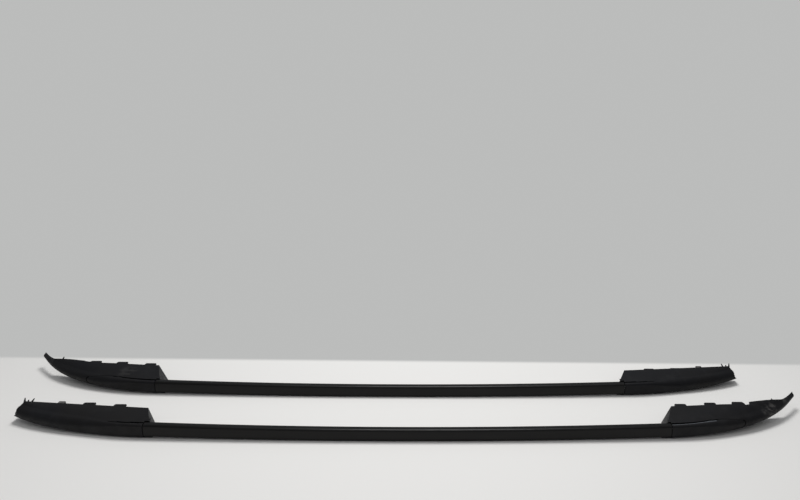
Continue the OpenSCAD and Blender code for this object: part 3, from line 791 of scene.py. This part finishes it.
def lean_and_cut(z, kind, rows, y, zz):
    """Station of every point: the end wall leans and is drafted, the blunt end is cut.

    Behind the bar s = a + w (lean (y - back) / (roof - back) - tan(draft) (height - z) / c),
    where c is the cosine of the lean's angle and w falls from 1 to 0; the rear end is
    cut back by a stepped line over z, with a weight rising from 0 to 1 and a broken edge.
    """
    back = z["end_y"] + z["depth"] + CLEAR
    inboard, lean, draft = END_WALL[kind]
    roof = FRONT_BASE if kind == "front" else REAR_BASE
    tilt = math.tan(math.radians(draft)) / math.cos(math.atan2(lean, roof - back))
    a = rows[:, None]
    w = np.clip(1 - (a + inboard) / LEAN_REACH, 0, 1)
    behind = np.clip((y - back + 0.05) / 4, 0, 1)
    shift = lean * np.clip((y - back) / (roof - back), 0, 1.1) - tilt * (z["cover_height"] - zz)
    s = a + w * np.where(a < z["cover_seam"] - 1e-6, 1, behind) * shift
    if kind == "rear":
        n = z["cover_rear_len"]
        end = smooth((a - (n - CUT_RUN)) / CUT_RUN)
        jag = 0.7 * np.sin(zz * 0.9 + 1.1) * np.sin(y * 0.43) + 0.5 * np.sin(zz * 2.3 + y * 1.1)
        last = np.clip((a - (n - 4)) / 4, 0, 1)
        s = s - end * np.interp(zz, CUT_Z, CUT_BACK) - last * (3.0 + jag)
    return s


def band_marks(z, kind, s, h, beyond):
    """Depth of the groove round the band's tongue, and the number of each face's material.

    s is the station and h the unrolled height of every point, and beyond says whether it
    lies past the seam. The groove is a bell-shaped dip over the distance from the tongue's
    contour. Material 1 is painted shade: a dark line along the groove in place of the shade in
    its recess. Material 2 is a painted highlight: a lighter line on the band's edge in place of
    the light its rounded edge catches.
    """
    up = z["end_z"] + z["width"] - z["cover_lip"] + GROOVE_UP
    if kind == "front":
        tip, radius = z["cover_tongue"], TONGUE_RADIUS
        up = up + 3 * smooth(s / 100)
        up = up - (up - TONGUE_MIDDLE - radius) * smooth(
            (s - TONGUE_UP_FROM) / (tip - 0.4 * radius - TONGUE_UP_FROM))
        low = GROOVE_LOW + (TONGUE_MIDDLE - radius - GROOVE_LOW) * smooth(
            (s - TONGUE_LOW_FROM) / (tip - radius - TONGUE_LOW_FROM))
        deep = mix(z["cover_groove_depth"], 1.1, smooth(s / 120))
        d = tongue_distance(s, h, up, low, tip, radius, TONGUE_MIDDLE)
        share = s / tip
        painted_shade_span = (share < 0.62) | ((share > 0.965) & (d < 1.0))
        painted_highlight_from, painted_highlight_to = 4.4, 0.6
    else:
        tip = z["cover_rear_tongue"]
        up = up - 2 * smooth(s / tip)
        deep = z["cover_groove_depth"] * (1 - smooth((s - 30) / (tip - 30)))
        d = np.minimum(np.abs(h - up), np.abs(h - GROOVE_LOW))
        share = s / tip
        painted_shade_span = share < 0.8
        painted_highlight_from, painted_highlight_to = 2.4, 0.3
    wide = mix(z["cover_groove_width"] * 0.42, 0.8, smooth(s / 120))
    dip = deep * np.exp(-(d / wide) ** 2) * beyond * (h > 3) * smooth((h - 3) / 4)
    thin = 1.5 - 0.8 * smooth(share / 0.7)
    # Painted shade: faces along the groove's line get the dark material in place of the shade in
    # its recess
    dark = (d < thin) & painted_shade_span & (h > 8) & beyond
    # Painted highlight: faces just below the band's upper edge get the lighter, glossier material
    # in place of the light the rounded edge catches
    bright = (h < up - 1.2) & (h > up - painted_highlight_from) & (share < painted_highlight_to * z["edge_line"]) & beyond
    return dip, np.where(dark, 1, np.where(bright, 2, 0))


def cover_patch(z, kind):
    """Shell of a foot cover, a closed C-shaped section carried from the bar to its end.

    The section's heights follow the station, and the groove dips along the skin's normal.
    """
    section = front_section if kind == "front" else rear_section
    rows, inside, hollow = cover_rows(z, kind)
    back = z["end_y"] + z["depth"] + CLEAR
    loops = []
    for columns, wall, drop in ((OUTLINE_COLUMNS, 0.0, 0.0),
                                (INNER_COLUMNS, z["cover_wall"], z["cover_groove_depth"])):
        cols = sum(columns)
        s = rows[:, None] * np.ones((1, cols))
        for _ in range(3):
            sec = section(z, s)
            y, zz = outline(sec, columns, wall, drop)
            behind = np.maximum(y, back + wall)
            y = np.where(inside[:, None], behind, y)
            s = lean_and_cut(z, kind, rows, y, zz)
        loops.append((s, y, zz, sec))
    s, y, zz, sec = loops[0]
    ny, nz = outward(y, zz)
    dip, mark = band_marks(z, kind, s, unrolled(sec, y, zz), ~inside[:, None])
    # The seam's edge is rounded by a quarter circle
    near_seam = np.clip(1 - (rows - z["cover_seam"]) / SEAM_ROUND, 0, 1)
    edge = SEAM_ROUND * (1 - np.sqrt(np.clip(1 - near_seam ** 2, 0, 1)))
    dip = dip + np.where(inside, 0, edge)[:, None] * (y < back)
    outer = np.stack([s, y - dip * ny, zz - dip * nz], -1)
    inner = np.stack(loops[1][:3], -1)[:, ::-1]
    share = np.linspace(0, 1, inner.shape[1])[None, :, None]
    chord = outer[:, -1:, :] * (1 - share) + outer[:, :1, :] * share
    inner = chord + (inner - chord) * hollow[:, None, None]
    ring = np.concatenate([outer, inner], axis=1)
    ring[..., 0] += z["half"]
    total = ring.shape[1]
    patch = Patch()
    faces = grid_faces(len(rows), total, True).tolist()
    marks = np.zeros((len(rows) - 1, total), int)
    marks[:, :mark.shape[1]] = mark[:-1]
    ends = [f[::-1] for f in strip_cap(0, outer.shape[1], total)]
    ends += strip_cap(len(rows) - 1, outer.shape[1], total)
    patch.add(ring, faces + ends, marks.reshape(-1).tolist() + [0] * len(ends))
    return patch


def leaned(points, angle):
    """Places and heights of points that are turned up about the x axis by an angle."""
    c, s = math.cos(angle), math.sin(angle)
    return points[:, 1] * c - points[:, 2] * s, points[:, 1] * s + points[:, 2] * c


def add_tab(patch, z, at, roof_y, roof_z):
    """Moulded tab: a rounded plate that leans up, its outer corners slanted."""
    size, wall = z["cover_tab_len"], z["cover_wall"]
    reach = z["cover_tab_reach"] + wall
    points, faces = block(-size / 2, size / 2, -2, reach, -wall, 0, 0.9, 14)
    slant = 1 - 4 / size * smooth((points[:, 1] - reach + 4) / 4)
    y, h = leaned(points, TAB_LEAN)
    moved = np.stack([points[:, 0] * slant + z["half"] + at, y + roof_y - wall,
                      h + roof_z - 1], -1)
    patch.add(moved, faces)


def add_pin(patch, x, y, height, foot, tip, reach, lift=0.0, side=0.0):
    """Tapered pin along y with a round end: radius falls evenly, then as a quarter circle.

    The pin leans up by lift degrees and sideways by side degrees.
    """
    u = np.linspace(0, 1, 18)
    end = np.sqrt(np.clip(1 - ((u - 0.85) / 0.15) ** 2, 0, 1))
    r = mix(foot, tip, u) * np.where(u > 0.85, end, 1)
    r[-1] = 0.02
    a = np.linspace(0, 2 * np.pi, 20, endpoint=False)
    px = r[:, None] * np.cos(a)
    pz = r[:, None] * np.sin(a)
    py = (reach * u)[:, None] + 0 * px
    c, d = math.cos(math.radians(lift)), math.sin(math.radians(lift))
    py, pz = c * py - d * pz, d * py + c * pz
    c, d = math.cos(math.radians(side)), math.sin(math.radians(side))
    px, py = c * px + d * py, c * py - d * px
    points = np.stack([px + x, py + y, pz + height], -1)
    faces = grid_faces(18, 20, True).tolist()
    patch.add(points, faces + [list(range(20)), list(range(18 * 20 - 1, 17 * 20 - 1, -1))])


def add_rib(patch, z, kind, at, top_y):
    """Thin cross wall in the hollow: the inner outline up to top_y."""
    section = front_section if kind == "front" else rear_section
    cols = sum(INNER_COLUMNS)
    s = np.full((1, cols), float(at))
    y, zz = outline(section(z, s), INNER_COLUMNS, z["cover_wall"] - 0.4, z["cover_groove_depth"])
    y, zz = y[0], zz[0]
    keep = y < top_y
    first, last = np.argmax(keep), len(y) - 1 - np.argmax(keep[::-1])
    ys = np.concatenate([[top_y], y[first:last + 1], [top_y]])
    zs = np.concatenate([[zz[first]], zz[first:last + 1], [zz[last]]])
    n = len(ys)
    a = np.stack([np.full(n, at + z["half"]), ys, zs], -1)
    b = a + [RIB_WALL, 0, 0]
    i = np.arange(n)
    j = (i + 1) % n
    quads = np.stack([i, j, j + n, i + n], -1).tolist()
    patch.add(np.concatenate([a, b]),
              quads + [list(range(n))[::-1], list(range(n, 2 * n))])


def front_cover(z, side, materials):
    """The front cover: shell, lip under the bar, tabs, locating pin and cross walls."""
    patch = cover_patch(z, "front")
    add_lip(patch, z, 20.0)
    add_ledge(patch, z, "front")
    pin = z["cover_front_len"] - PIN_FROM_TIP
    *tab_heights, pin_height = front_section(z, np.array([*FRONT_TABS, pin], float))["roof_z"]
    for at, height in zip(FRONT_TABS, tab_heights):
        add_tab(patch, z, at, front_roof(at), height)
    add_pin(patch, z["half"] + pin, front_roof(pin) - PIN_ROOT, pin_height - PIN_LOW,
            PIN_FOOT, PIN_TIP, z["cover_tab_reach"] + PIN_ROOT, PIN_LEAN[side])
    for at in FRONT_RIBS:
        add_rib(patch, z, "front", at, FRONT_BASE - RIB_SHORT)
    finish_piece(side + "_nose_cover", patch, materials, side, False,
                 [side + "_front_cover"])


def rear_cover(z, side, materials):
    """The rear cover: shell, lip under the bar, tabs, broken ribs and cross walls."""
    patch = cover_patch(z, "rear")
    add_lip(patch, z, 17.0)
    add_ledge(patch, z, "rear")
    for at, short in REAR_TABS[side]:
        add_tab(patch, z, at, rear_roof(at) - short, z["cover_height"] - 0.05 * short)
    for from_end, reach, lift, side_lean in BROKEN_RIBS:
        at = z["cover_rear_len"] - from_end
        add_pin(patch, z["half"] + at, rear_roof(at) - SPIKE_ROOT,
                z["cover_height"] - z["cover_wall"] - SPIKE_LOW, SPIKE_FOOT, SPIKE_TIP,
                reach, lift, side_lean)
    for at in REAR_RIBS:
        add_rib(patch, z, "rear", at, rear_roof(at) - RIB_SHORT)
    finish_piece(side + "_tail_cover", patch, materials, side, True,
                 [side + "_rear_cover"])


def add_lip(patch, z, inboard):
    """Thin tongue of the cover under the bar's end."""
    points, faces = block(z["half"] - inboard, z["half"] + z["cover_seam"] + 1.5,
                          z["end_y"] + 3.0, z["end_y"] + z["depth"] + 2,
                          z["end_z"] - z["cover_lip"], z["end_z"] - CLEAR - 0.1, 0.9)
    patch.add(points, faces)


def add_ledge(patch, z, kind):
    """Ledge of the cover over the bar's back corner, between end wall and seam."""
    back = z["end_y"] + z["depth"] + CLEAR
    inboard = END_WALL[kind][0] + 3.2
    top = z["end_z"] + z["width"]
    points, faces = block(z["half"] - inboard, z["half"] + z["cover_seam"] + 1.0, back - 3,
                          back + 7, top + 0.2, top + 2.2, 0.6)
    patch.add(points, faces)


def locator(z, side, material):
    """Light foam block that stands out of the rear roof edge."""
    points, faces = block(-FOAM_WIDE / 2, FOAM_WIDE / 2, -FOAM_ROOT, FOAM_REACH, -FOAM_THICK, 0,
                          FOAM_ROUND, 14)
    y, h = leaned(points, FOAM_LEAN)
    h = h + z["cover_height"] - z["cover_wall"] - 1.5
    patch = Patch()
    patch.add(np.stack([points[:, 0] + z["half"] + FOAM_AT, y + rear_roof(FOAM_AT), h], -1), faces)
    finish_piece(side + "_foam_block", patch, [material], side, True,
                 [side + "_rear_locator"])


# ---- operators -------------------------------------------------------------------------


class RAIL_OT_bars(Operator):
    """Build the two bent bars"""

    bl_idname = "rails.bars"
    bl_label = "Bars"

    def execute(self, context):
        z = sizes()
        material = paint_finish(context.scene.rail_colours.paint)
        for side in ("right", "left"):
            finish_piece(side + "_bar", bar_patch(z), [material], side, False,
                         [side + "_rail_bar"])
        return {"FINISHED"}


class RAIL_OT_covers(Operator):
    """Build the four moulded foot covers"""

    bl_idname = "rails.covers"
    bl_label = "Foot covers"

    def execute(self, context):
        z = sizes()
        nose, far_nose = RIGHT_PLACE[0] + z["half"], LEFT_PLACE[0] - z["half"]
        scuffs = [
            (nose + 247, RIGHT_PLACE[1] + 74, 37, 24, 0.5),
            (nose + 262, RIGHT_PLACE[1] + 90, 37, 18, 0.4),
            (nose + 300, RIGHT_PLACE[1] + 118, 36, 12, 0.4),
            (nose + 234, RIGHT_PLACE[1] + 100, 47, 9, 1.0),
            (far_nose - 82, LEFT_PLACE[1] + 55, 40, 30, 0.12),
        ]
        colours = context.scene.rail_colours
        materials = [moulding_finish(colours.moulding, scuffs),
                     # The second and third finishes are painted shade along the groove and a
                     # painted highlight on the band's edge
                     painted_light_strip("painted shade groove", colours.groove, 0.8, 0.02),
                     painted_light_strip("painted highlight edge", colours.edge, 0.38, 0.5)]
        for side in ("right", "left"):
            front_cover(sizes(side), side, materials)
            rear_cover(sizes(side), side, materials)
        return {"FINISHED"}


class RAIL_OT_blocks(Operator):
    """Build the foam blocks at the rear covers"""

    bl_idname = "rails.blocks"
    bl_label = "Foam blocks"

    def execute(self, context):
        material = foam_finish(context.scene.rail_colours.foam)
        for side in ("right", "left"):
            locator(sizes(), side, material)
        return {"FINISHED"}


class RAIL_OT_hardware(Operator):
    """Give the feet, screws, clips, bushes and pads their finish"""

    bl_idname = "rails.hardware"
    bl_label = "Feet and fasteners"

    def execute(self, context):
        c = context.scene.rail_colours
        finishes = {
            "bracket": alloy_finish(c.alloy),
            "inserts": zinc_finish(c.zinc),
            "gasket": rubber_finish(c.rubber),
        }
        finishes["screws"] = finishes["clips"] = finishes["inserts"]
        for name, obj in frame["nodes"].items():
            for ending, material in finishes.items():
                if name.endswith(ending):
                    obj.data.materials.clear()
                    obj.data.materials.append(material)
        return {"FINISHED"}


class RAIL_OT_stage(Operator):
    """Lay the floor, hang the lamps and place the camera"""

    bl_idname = "rails.stage"
    bl_label = "Floor, light and camera"

    def execute(self, context):
        scene = context.scene
        floor(scene.rail_colours)
        for row in LAMPS:
            lamp(*row)
        world(scene)
        camera(scene)
        scene.view_settings.view_transform = "Standard"
        return {"FINISHED"}


def floor(colours):
    """Large pale floor; behind the rails a camera sees it in the even grey of the backdrop.

    The change lies along the line where the photographed table ends.
    """
    f = Finish("pale floor")
    parts = f.node("SeparateXYZ", {0: f.coords})
    line = f.math("ADD", parts.outputs["Y"], f.math("MULTIPLY", parts.outputs["X"], BACK_SLANT))
    far = f.ramp(line, BACK_FROM, BACK_TO)
    f.set("Base Color", rgba(colours.floor))
    f.set("Roughness", 0.6)
    f.set("Specular IOR Level", 0.2)
    seen = f.node("LightPath").outputs["Is Camera Ray"]
    plain = f.node("Emission", {"Color": rgba(colours.back), "Strength": 1.0}).outputs[0]
    both = f.node("MixShader", {0: f.math("MULTIPLY", far, seen), 1: f.shader.outputs[0],
                                2: plain})
    f.tree.links.new(both.outputs[0], f.tree.nodes["Material Output"].inputs["Surface"])
    points = FLOOR_HALF * np.array([[-1, -1, 0], [1, -1, 0], [1, 1, 0], [-1, 1, 0]])
    obj = mesh_object("floor", points, [[0, 1, 2, 3]], [f.material], False)


def lamp(name, place, target, size, power):
    """Square area lamp that faces its target."""
    data = bpy.data.lights.new(name, "AREA")
    data.size = size
    data.energy = power
    obj = bpy.data.objects.new(name, data)
    bpy.context.scene.collection.objects.link(obj)
    obj.location = place
    aim = np.array(target, float) - np.array(place, float)
    flat = math.hypot(aim[0], aim[1])
    obj.rotation_euler = (math.atan2(flat, -aim[2]), 0, math.atan2(aim[1], aim[0]) - math.pi / 2)


def world(scene):
    """Even soft light from all round; a camera sees the backdrop's grey instead."""
    w = bpy.data.worlds.new("soft room")
    scene.world = w
    w.use_nodes = True
    tree = w.node_tree
    light = tree.nodes["Background"]
    light.inputs["Color"].default_value = ROOM_COLOUR
    light.inputs["Strength"].default_value = ROOM_STRENGTH
    grey = tree.nodes.new("ShaderNodeBackground")
    grey.inputs["Color"].default_value = rgba(scene.rail_colours.back)
    seen = tree.nodes.new("ShaderNodeLightPath").outputs["Is Camera Ray"]
    both = tree.nodes.new("ShaderNodeMixShader")
    tree.links.new(seen, both.inputs[0])
    tree.links.new(light.outputs[0], both.inputs[1])
    tree.links.new(grey.outputs[0], both.inputs[2])
    tree.links.new(both.outputs[0], tree.nodes["World Output"].inputs["Surface"])


def camera(scene):
    """Camera at the photograph's place, with its frame set off sideways."""
    data = bpy.data.cameras.new("photo_camera")
    data.sensor_width = SENSOR
    data.lens = CAMERA_LENS
    data.shift_x = CAMERA_SHIFT
    data.clip_end = 60
    obj = bpy.data.objects.new("photo_camera", data)
    scene.collection.objects.link(obj)
    obj.location = CAMERA_PLACE
    obj.rotation_euler = [math.radians(angle) for angle in CAMERA_TURN]
    scene.camera = obj


class RAIL_PT_panel(Panel):
    """Sizes, colours and build steps of the roof rails"""

    bl_idname = "RAIL_PT_panel"
    bl_label = "Roof side rails"
    bl_space_type = "VIEW_3D"
    bl_region_type = "UI"
    bl_category = "Roof rails"

    def draw(self, context):
        scene = context.scene
        for group in (scene.rail_bar_sizes, scene.rail_cover_sizes, scene.rail_colours):
            column = self.layout.box().column()
            for key in type(group).__annotations__:
                column.prop(group, key)
        for step in STEPS:
            self.layout.operator(step.bl_idname)


STEPS = (RAIL_OT_bars, RAIL_OT_covers, RAIL_OT_blocks, RAIL_OT_hardware, RAIL_OT_stage)
CLASSES = (RailBarSizes, CoverSizes, RailColours) + STEPS + (RAIL_PT_panel,)


def register():
    """Registers the classes and hangs the property groups on the scene."""
    for cls in CLASSES:
        bpy.utils.register_class(cls)
    bpy.types.Scene.rail_bar_sizes = PointerProperty(type=RailBarSizes)
    bpy.types.Scene.rail_cover_sizes = PointerProperty(type=CoverSizes)
    bpy.types.Scene.rail_colours = PointerProperty(type=RailColours)


def unregister():
    """Takes the property groups and the classes away again."""
    del bpy.types.Scene.rail_colours
    del bpy.types.Scene.rail_cover_sizes
    del bpy.types.Scene.rail_bar_sizes
    for cls in reversed(CLASSES):
        bpy.utils.unregister_class(cls)


def main():
    """Registers the add-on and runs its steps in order."""
    register()
    bpy.ops.rails.bars()
    bpy.ops.rails.covers()
    bpy.ops.rails.blocks()
    bpy.ops.rails.hardware()
    bpy.ops.rails.stage()


if __name__ == "__main__":
    main()
